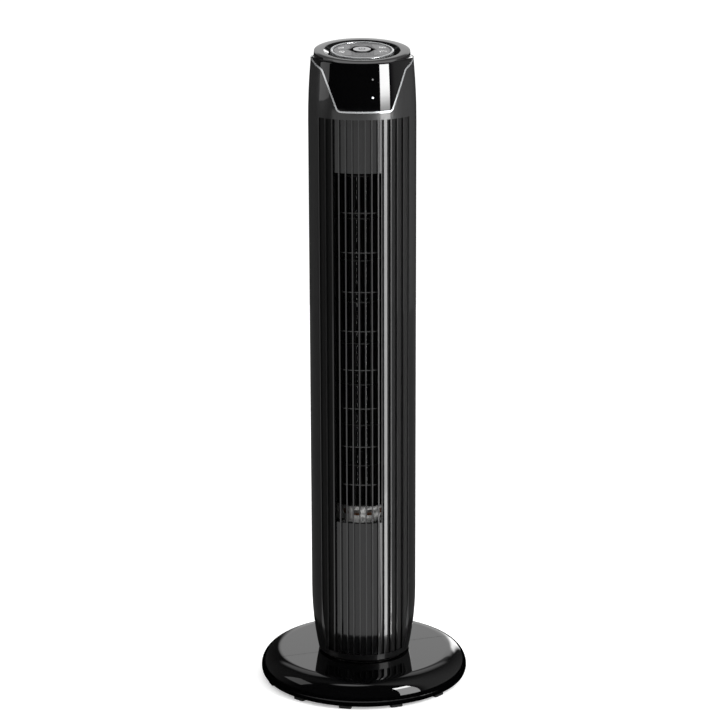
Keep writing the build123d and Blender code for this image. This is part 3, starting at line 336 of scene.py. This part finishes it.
def bell_finish():
    """The motor's upper bell: pale, scuffed paint, with painted light glowing in patches and painted shade on
    its left side.
    """
    mat = build_material("bell_paint_glow_and_shade", (0.85, 0.85, 0.84), 0.35, rough_spread=0.08, speck=0.12,
                         speck_scale=160.0, bump=0.3, bump_scale=300.0, glow=((1.0, 1.0, 0.98), BELL_SHINE))
    tree = mat.node_tree
    lowest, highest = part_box("motor_upper_bell")
    vector = coordinate(tree, "Object")
    parts = separate(tree, vector)
    patches = product(tree, smooth_step(tree, parts["X"], SHINE_SIDE),
                      smooth_step(tree, noise(tree, vector, PATCH_SCALE, PATCH_DETAIL), PATCH_EDGE),
                      smooth_step(tree, parts["Z"], [lowest.z + rise for rise in SHINE_FOOT]),
                      smooth_step(tree, parts["Z"], [highest.z - drop for drop in SHINE_HEAD]))
    # painted light: the bell glows in patches and is dim elsewhere
    fade(tree, "Emission Strength", patches, BELL_DIM)
    # painted shade: the colour darkens towards the bell's left side
    fade(tree, "Base Color", smooth_step(tree, parts["X"], PAINTED_SHADE_SIDE), BELL_SHADE)
    return mat


own_finishes = {"outlet_liner": liner_finish(), "power_button": button_finish(),
                "indicator_windows": indicator_finish(), "motor_upper_bell": bell_finish()}
key_silver = build_material("key_silver", (0.20, 0.20, 0.205), 0.30, metallic=0.6, rough_spread=0.05,
                            bump=0.10, bump_scale=4000.0, speck=0.06, speck_scale=2500.0)
for key in ("speed_button", "timer_button", "mode_button", "swing_button"):
    own_finishes[key] = key_silver
for part in frame["record"]["subparts"]:
    slots = frame["nodes"][part["node"]].data.materials
    slots.clear()
    slots.append(own_finishes.get(part["node"], materials[part["material_slot"]]))


# ---- pieces in mesh code ----
def add_bar(bars, loops, closed=False):
    """Bar through loops of corners; closed joins its last loop to its first, else its ends are capped."""
    verts, faces = bars
    first, corners, count = len(verts), len(loops[0]), len(loops)
    for loop in loops:
        verts.extend(loop)
    for i in range(count if closed else count - 1):
        here, there = first + i * corners, first + (i + 1) % count * corners
        for j in range(corners):
            k = (j + 1) % corners
            faces.append((here + j, here + k, there + k, there + j))
    if not closed:
        last = first + (count - 1) * corners
        faces.append(tuple(first + j for j in reversed(range(corners))))
        faces.append(tuple(last + j for j in range(corners)))


def make_piece(name, bars, material, body):
    """Object of bars that rides on a body."""
    verts, faces = bars
    mesh = bpy.data.meshes.new(name)
    mesh.from_pydata(verts, [], faces)
    work = bmesh.new()
    work.from_mesh(mesh)
    bmesh.ops.recalc_face_normals(work, faces=work.faces)
    work.to_mesh(mesh)
    work.free()
    obj = bpy.data.objects.new(name, mesh)
    scene.collection.objects.link(obj)
    mesh.materials.append(material)
    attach(obj, body)


# the dust screen fills the windows between the upright ribs of the rear housing's intake
SCREEN_WINDOWS = [(128.0, 153.6), (156.4, 178.6), (181.4, 203.6), (206.4, 232.0)]   # azimuths in degrees
SCREEN_LOW, SCREEN_HIGH = 0.2625, 0.7435
SCREEN_R = 0.0722                      # inside of the upright strands
STRAND_PITCH, STRAND_WIDTH, STRAND_THICK = 0.0020, 0.00155, 0.00025
STRAND_STEP = 0.0001                   # the level strands start this far outside the upright ones' inside
LEVEL_SPANS = 5                        # straight spans of a level strand across a window


def dust_screen():
    """Crossed strands inside the rear intake."""
    bars = ([], [])
    half_turn = STRAND_WIDTH / 2 / SCREEN_R
    upright_in, upright_out = SCREEN_R, SCREEN_R + STRAND_THICK
    level_in, level_out = upright_in + STRAND_STEP, upright_out + STRAND_STEP
    for window in SCREEN_WINDOWS:
        start, end = (math.radians(angle) for angle in window)
        uprights = round((end - start) * SCREEN_R / STRAND_PITCH)
        for i in range(uprights + 1):
            middle = start + (end - start) * i / uprights
            before, after = middle - half_turn, middle + half_turn
            add_bar(bars, [[around_axis(upright_in, before, z), around_axis(upright_in, after, z),
                            around_axis(upright_out, after, z), around_axis(upright_out, before, z)]
                           for z in (SCREEN_LOW, SCREEN_HIGH)])
        levels = round((SCREEN_HIGH - SCREEN_LOW) / STRAND_PITCH)
        turns = [start + (end - start) * k / LEVEL_SPANS for k in range(LEVEL_SPANS + 1)]
        for i in range(levels + 1):
            z = SCREEN_LOW + (SCREEN_HIGH - SCREEN_LOW) * i / levels
            low, high = z - STRAND_WIDTH / 2, z + STRAND_WIDTH / 2
            add_bar(bars, [[around_axis(level_in, turn, low), around_axis(level_in, turn, high),
                            around_axis(level_out, turn, high), around_axis(level_out, turn, low)]
                           for turn in turns])
    return bars


# the marks lie on the tilted panel, whose own x runs to the right and y to the rear
PANEL_TILT = math.radians(8.0)
PANEL_Y, PANEL_Z = -0.0010, 0.9145     # where the panel's own origin is
KEY_TOP, BUTTON_TOP = -0.0004, 0.0002  # along the panel's normal
MARK_RISE, MARK_ROOT = 0.00018, 0.0001  # a mark stands out of its button and reaches into it
MARK_LINE, POWER_LINE, SPEED_LINE = 0.0008, 0.0010, 0.0014
RIGHT_KEYS = 0.0285                    # x of the right keys' marks; the left keys' are mirrored
UPPER_KEYS, LOWER_KEYS, POWER_Y = 0.0135, -0.0075, 0.004


def on_panel(x, y, rise):
    """Point of the panel, at a rise along its normal."""
    return (x, PANEL_Y + y * math.cos(PANEL_TILT) - rise * math.sin(PANEL_TILT),
            PANEL_Z + y * math.sin(PANEL_TILT) + rise * math.cos(PANEL_TILT))


def stroke(bars, points, top=KEY_TOP, line=MARK_LINE, closed=False):
    """Raised line through points on the panel."""
    loops = []
    last = len(points) - 1
    for i, (x, y) in enumerate(points):
        behind = points[i - 1] if closed else points[max(i - 1, 0)]
        beyond = points[(i + 1) % len(points)] if closed else points[min(i + 1, last)]
        run = Vector((beyond[0] - behind[0], beyond[1] - behind[1])).normalized() * line / 2
        left, right = (x - run.y, y + run.x), (x + run.y, y - run.x)
        loops.append([on_panel(*left, top - MARK_ROOT), on_panel(*right, top - MARK_ROOT),
                      on_panel(*right, top + MARK_RISE), on_panel(*left, top + MARK_RISE)])
    add_bar(bars, loops, closed)


def arc_points(x, y, radius, start, end, steps=20):
    """Points of an arc, anticlockwise in degrees from the panel's x."""
    angles = [math.radians(start + (end - start) * i / steps) for i in range(steps + 1)]
    return [(x + radius * math.cos(angle), y + radius * math.sin(angle)) for angle in angles]


SPEED_BARS, SPEED_PITCH, SPEED_FOOT = (0.0028, 0.0044, 0.0060), 0.0028, UPPER_KEYS - 0.003


def speed_mark():
    """Three bars of rising height."""
    bars = ([], [])
    for i, tall in enumerate(SPEED_BARS):
        x = -RIGHT_KEYS + SPEED_PITCH * (i - 1)
        stroke(bars, [(x, SPEED_FOOT), (x, SPEED_FOOT + tall)], line=SPEED_LINE)
    return bars


CLOCK_R, CLOCK_STEPS = 0.0036, 24
MINUTE_HAND, HOUR_HAND = 0.0025, 0.0020


def timer_mark():
    """A clock's face with two hands."""
    bars = ([], [])
    x, y = -RIGHT_KEYS, LOWER_KEYS
    last_turn = 360 - 360 / CLOCK_STEPS
    stroke(bars, arc_points(x, y, CLOCK_R, 0, last_turn, CLOCK_STEPS - 1), closed=True)
    stroke(bars, [(x, y + MINUTE_HAND), (x, y), (x + HOUR_HAND, y)])
    return bars


GUST_LENGTH, GUST_HEIGHT, GUST_SHIFT, GUST_STEPS = 0.009, 0.0011, 0.0016, 24


def mode_mark():
    """Two gusts of wind, one above the other, each two waves long."""
    bars = ([], [])
    shares = [i / GUST_STEPS for i in range(GUST_STEPS + 1)]
    for middle in (UPPER_KEYS - GUST_SHIFT, UPPER_KEYS + GUST_SHIFT):
        stroke(bars, [(RIGHT_KEYS + GUST_LENGTH * (share - 0.5),
                       middle + GUST_HEIGHT * math.sin(4 * math.pi * share)) for share in shares])
    return bars


SWING_R, SWING_Y = 0.0045, LOWER_KEYS - 0.002
SWING_ENDS = (25, 155)                 # degrees
ARROW = [(0.0016, 0.0006), (-0.0002, -0.0009), (-0.0012, 0.0016)]      # from the arc's end, x outwards


def swing_mark():
    """An arc with an arrow at each end."""
    bars = ([], [])
    arc = arc_points(RIGHT_KEYS, SWING_Y, SWING_R, *SWING_ENDS)
    stroke(bars, arc)
    for (x, y), lean in ((arc[0], -1), (arc[-1], 1)):
        stroke(bars, [(x + aside * lean, y + along) for aside, along in ARROW])
    return bars


POWER_R, POWER_ENDS, POWER_STEPS = 0.0042, (125, 415), 30
POWER_BAR = (0.0008, 0.0052)           # the line's ends, from the ring's middle


def power_mark():
    """An open ring with a line."""
    bars = ([], [])
    stroke(bars, arc_points(0.0, POWER_Y, POWER_R, *POWER_ENDS, POWER_STEPS), BUTTON_TOP, POWER_LINE)
    stroke(bars, [(0.0, POWER_Y + y) for y in POWER_BAR], BUTTON_TOP, POWER_LINE)
    return bars


mark_silver = build_material("mark_silver", (0.9, 0.9, 0.9), 0.4, speck=0.04, speck_scale=2000.0)
mark_black = build_material("mark_black", (0.01, 0.01, 0.01), 0.4)
make_piece("intake_dust_screen", dust_screen(), materials["inner_black"], "tower")
make_piece("speed_mark", speed_mark(), mark_silver, "speed_button")
make_piece("timer_mark", timer_mark(), mark_silver, "timer_button")
make_piece("mode_mark", mode_mark(), mark_silver, "mode_button")
make_piece("swing_mark", swing_mark(), mark_silver, "swing_button")
make_piece("power_mark", power_mark(), mark_black, "power_button")

# ---- studio ----
# The camera and matt surfaces see plain white. Gloss mirrors a studio: a white wall behind the fan, dim
# sides and a dark room behind the camera. Azimuths are in degrees from the camera's side of the fan
# towards the viewer's right, and heights are in degrees above the horizon. A pair of them is an edge:
# where a light starts, and where it is full or has its second value.
OPEN_WHITE = 1.12                      # light that reaches matt surfaces
BEHIND = 180.0                         # azimuth of the wall's middle

BACKDROP, UPPER_ROOM = 1.08, 0.20      # the white wall, and the room above it
BACKDROP_TOP = (24.5, 27.0)
BACKDROP_FOOT = (-4.0, -1.0)
BACKDROP_RIGHT, BACKDROP_LEFT = (22.0, 11.0), (10.0, 3.0)     # from the wall's middle
ROOM_FADE, ROOM_TOP = (70.0, 35.0), 0.1        # straight up, the room keeps this share

WINDOW_LIGHT = 3.6                     # added to the wall to the right of the fan
WINDOW_INNER, WINDOW_OUTER = (7.0, 13.0), (22.0, 15.0)        # from the wall's middle
WINDOW_TOP = (22.0, 18.0)

HIGH_LAMP = 0.6                        # above the wall; the front of the top's rim mirrors it
HIGH_LAMP_FOOT, HIGH_LAMP_TOP = (29.0, 34.0), (54.0, 46.0)
HIGH_LAMP_SIDE = (150.0, 162.0)

OVERHEAD = 1.8                         # a small oval light almost overhead
OVERHEAD_SIDE, OVERHEAD_AHEAD = -0.13, -0.05   # its middle, as parts of a direction of length 1
OVERHEAD_WIDE, OVERHEAD_DEEP = 0.22, 0.10
OVERHEAD_EDGE = (1.2, 0.5)             # in half widths
UPWARDS = (0.5, 0.6)                   # Z of a direction

FLOOR_FAR = 0.9                        # the floor beyond the disc under the fan
FLOOR_FAR_TOP, FLOOR_FAR_SIDE = (-5.2, -6.2), (75.0, 60.0)
FRONT_ROOM = 0.018
RIGHT_ROOM, RIGHT_NEAR, RIGHT_FAR, RIGHT_REST = 0.42, (60.0, 78.0), (84.0, 168.0), 0.08
LEFT_ROOM, LEFT_NEAR, LEFT_FAR, LEFT_REST = 0.09, (-72.0, -110.0), (-120.0, -168.0), 0.3


def mirrored_wall(sky, azimuth, height):
    """Light of the white wall, its window and the lamp above it."""
    past_right = math_node(sky, "SUBTRACT", BEHIND, azimuth)
    past_left = math_node(sky, "ADD", BEHIND, azimuth)
    width = mix_numbers(sky, math_node(sky, "GREATER_THAN", azimuth, 0.0),
                        smooth_step(sky, past_left, BACKDROP_LEFT),
                        smooth_step(sky, past_right, BACKDROP_RIGHT))
    wall = product(sky, width, smooth_step(sky, height, BACKDROP_TOP, BACKDROP, UPPER_ROOM))
    window = product(sky, WINDOW_LIGHT, smooth_step(sky, past_right, WINDOW_INNER),
                     smooth_step(sky, past_right, WINDOW_OUTER), smooth_step(sky, height, WINDOW_TOP))
    wall = product(sky, total(sky, wall, window), smooth_step(sky, height, BACKDROP_FOOT),
                   smooth_step(sky, height, ROOM_FADE, ROOM_TOP, 1.0))
    lamp = product(sky, smooth_step(sky, height, HIGH_LAMP_FOOT), smooth_step(sky, height, HIGH_LAMP_TOP),
                   smooth_step(sky, math_node(sky, "ABSOLUTE", azimuth), HIGH_LAMP_SIDE, 0.0, HIGH_LAMP))
    return total(sky, wall, lamp)


def mirrored_overhead(sky, direction):
    """Light of the small lamp almost overhead."""
    parts = separate(sky, direction)
    aside = math_node(sky, "DIVIDE", math_node(sky, "SUBTRACT", parts["X"], OVERHEAD_SIDE), OVERHEAD_WIDE)
    along = math_node(sky, "DIVIDE", math_node(sky, "SUBTRACT", parts["Y"], OVERHEAD_AHEAD), OVERHEAD_DEEP)
    reach = math_node(sky, "SQRT", total(sky, product(sky, aside, aside), product(sky, along, along)))
    return product(sky, smooth_step(sky, reach, OVERHEAD_EDGE, 0.0, OVERHEAD),
                   smooth_step(sky, parts["Z"], UPWARDS))


def mirrored_room(sky, azimuth, height):
    """Light of the room's sides and front, or of the far floor where that is brighter."""
    right_side = product(sky, smooth_step(sky, azimuth, RIGHT_NEAR, 0.0, RIGHT_ROOM),
                         smooth_step(sky, azimuth, RIGHT_FAR, 1.0, RIGHT_REST))
    left_side = product(sky, smooth_step(sky, azimuth, LEFT_NEAR, 0.0, LEFT_ROOM),
                        smooth_step(sky, azimuth, LEFT_FAR, 1.0, LEFT_REST))
    far_floor = product(sky, smooth_step(sky, height, FLOOR_FAR_TOP, 0.0, FLOOR_FAR),
                        smooth_step(sky, math_node(sky, "ABSOLUTE", azimuth), FLOOR_FAR_SIDE))
    room = math_node(sky, "MAXIMUM", total(sky, right_side, left_side), FRONT_ROOM)
    return math_node(sky, "MAXIMUM", room, far_floor)


def studio_world():
    """World that is white to the camera and to matt surfaces, and a studio to gloss."""
    world = bpy.data.worlds.new("studio")
    world.use_nodes = True
    world.cycles.sampling_method = "NONE"
    scene.world = world
    sky = world.node_tree
    turn = sky.nodes.new("ShaderNodeMapping")
    turn.inputs["Rotation"].default_value = (0, 0, -VIEW_AZIMUTH)
    sky.links.new(coordinate(sky, "Generated"), turn.inputs["Vector"])
    direction = turn.outputs["Vector"]
    azimuth = math_node(sky, "DEGREES", azimuth_of(sky, direction))
    height = math_node(sky, "DEGREES", math_node(sky, "ARCSINE", separate(sky, direction)["Z"]))
    mirrored = total(sky, mirrored_wall(sky, azimuth, height), mirrored_overhead(sky, direction),
                     mirrored_room(sky, azimuth, height))
    gloss = sky.nodes.new("ShaderNodeLightPath").outputs["Is Glossy Ray"]
    background = sky.nodes["Background"]
    background.inputs["Color"].default_value = (1.0, 1.0, 1.0, 1.0)
    sky.links.new(mix_numbers(sky, gloss, OPEN_WHITE, mirrored), background.inputs["Strength"])


def light_panel(name, azimuth, distance, heights, width, glow, fade_heights=(0.0, 1.0), slant=0.0):
    """Upright glowing panel at an azimuth in degrees from the camera's side, which the camera doesn't see.

    The glow goes from its first value to its second over the fade's heights, and slant lowers the
    panel's lower left corner.
    """
    low, high = heights
    left, right = -width / 2, width / 2
    mesh = bpy.data.meshes.new(name)
    mesh.from_pydata([(left, 0, low - slant), (right, 0, low), (right, 0, high), (left, 0, high)],
                     [], [(0, 1, 2, 3)])
    obj = bpy.data.objects.new(name, mesh)
    scene.collection.objects.link(obj)
    turn = VIEW_AZIMUTH + math.radians(azimuth)
    obj.matrix_world = Matrix.Translation(around_axis(distance, turn, 0.0)) @ Matrix.Rotation(turn, 4, "Z")
    obj.visible_camera = False
    mat = bpy.data.materials.new(name)
    mat.use_nodes = True
    tree = mat.node_tree
    tree.nodes.remove(tree.nodes["Principled BSDF"])
    emission = tree.nodes.new("ShaderNodeEmission")
    height = separate(tree, coordinate(tree, "Object"))["Z"]
    tree.links.new(smooth_step(tree, height, fade_heights, *glow), emission.inputs["Strength"])
    tree.links.new(emission.outputs["Emission"], tree.nodes["Material Output"].inputs["Surface"])
    mesh.materials.append(mat)


KEY_AZIMUTH, KEY_DISTANCE, KEY_WIDTH = 48.1, 0.95, 0.362
KEY_HALF = math.atan2(KEY_WIDTH / 2, KEY_DISTANCE)          # half its width, as an angle in radians

FLOOR_R, FLOOR_SIDES = 2.4, 96
FLOOR_LIFT = 0.30                      # added white, so that only a soft contact shadow shows
FLOOR_EDGE = (0.164, 0.172)            # radius over which the mirrored floor turns from dark to bright
FLOOR_WHITE, FLOOR_BACK = 1.0, 0.07    # the mirrored floor in front of the fan and behind it
FLOOR_FRONT = (math.radians(80.0), math.radians(60.0))      # from the camera's side
FLOOR_GLARE = 7.0                      # added below the softbox
GLARE_BLUR = 0.02                      # radians
GRAZING_REACH = (0.16, 0.40)           # radius over which the floor comes to shine at lower angles
GRAZING_NEAR, GRAZING_FAR, GRAZING_BLUR = 0.50, 0.85, 0.02  # as Layer Weight's facing


def mirrored_floor(tree):
    """Strength of the floor in gloss: bright in front of the fan, dark under it and at grazing angles."""
    vector = coordinate(tree, "Object")
    length = tree.nodes.new("ShaderNodeVectorMath")
    length.operation = "LENGTH"
    tree.links.new(vector, length.inputs[0])
    radius = length.outputs["Value"]
    azimuth = azimuth_of(tree, vector)
    off_view = math_node(tree, "ABSOLUTE", math_node(tree, "SUBTRACT", azimuth, VIEW_AZIMUTH))
    key_turn = VIEW_AZIMUTH + math.radians(KEY_AZIMUTH)
    off_key = math_node(tree, "ABSOLUTE", math_node(tree, "SUBTRACT", azimuth, key_turn))
    glare = smooth_step(tree, off_key, (KEY_HALF + GLARE_BLUR, KEY_HALF - GLARE_BLUR), 0.0, FLOOR_GLARE)
    front = smooth_step(tree, off_view, FLOOR_FRONT, FLOOR_BACK, FLOOR_WHITE)
    grazing = tree.nodes.new("ShaderNodeLayerWeight").outputs["Facing"]
    limit = smooth_step(tree, radius, GRAZING_REACH, GRAZING_NEAR, GRAZING_FAR)
    steep = smooth_step(tree, math_node(tree, "SUBTRACT", limit, grazing), (-GRAZING_BLUR, GRAZING_BLUR))
    return product(tree, total(tree, glare, front), steep, smooth_step(tree, radius, FLOOR_EDGE))


def floor_finish():
    """White floor with a soft contact shadow; gloss mirrors a floor of its own."""
    mat = build_material("floor", (0.93, 0.93, 0.93), 0.7, speck=0.01, speck_scale=3.0, bump=0.0)
    tree = mat.node_tree
    lift = tree.nodes.new("ShaderNodeEmission")
    lift.inputs["Strength"].default_value = FLOOR_LIFT
    lifted = tree.nodes.new("ShaderNodeAddShader")
    tree.links.new(tree.nodes["Principled BSDF"].outputs["BSDF"], lifted.inputs[0])
    tree.links.new(lift.outputs["Emission"], lifted.inputs[1])
    mirrored = tree.nodes.new("ShaderNodeEmission")
    tree.links.new(mirrored_floor(tree), mirrored.inputs["Strength"])
    choose = tree.nodes.new("ShaderNodeMixShader")
    gloss = tree.nodes.new("ShaderNodeLightPath").outputs["Is Glossy Ray"]
    tree.links.new(gloss, choose.inputs["Fac"])
    tree.links.new(lifted.outputs["Shader"], choose.inputs[1])
    tree.links.new(mirrored.outputs["Emission"], choose.inputs[2])
    tree.links.new(choose.outputs["Shader"], tree.nodes["Material Output"].inputs["Surface"])
    return mat


def add_floor():
    """Round floor under the fan."""
    mesh = bpy.data.meshes.new("floor")
    turns = [2 * math.pi * i / FLOOR_SIDES for i in range(FLOOR_SIDES)]
    mesh.from_pydata([(FLOOR_R * math.cos(turn), FLOOR_R * math.sin(turn), 0.0) for turn in turns],
                     [], [tuple(range(FLOOR_SIDES))])
    floor = bpy.data.objects.new("floor", mesh)
    scene.collection.objects.link(floor)
    mesh.materials.append(floor_finish())


studio_world()
light_panel("key_softbox", KEY_AZIMUTH, KEY_DISTANCE, heights=(0.02, 1.10), width=KEY_WIDTH,
            glow=(6.2, 24.0), fade_heights=(0.74, 0.86))
light_panel("left_panel", azimuth=-89.0, distance=1.5, heights=(0.745, 1.7), width=0.75,
            glow=(1.2, 1.2), slant=0.040)
add_floor()
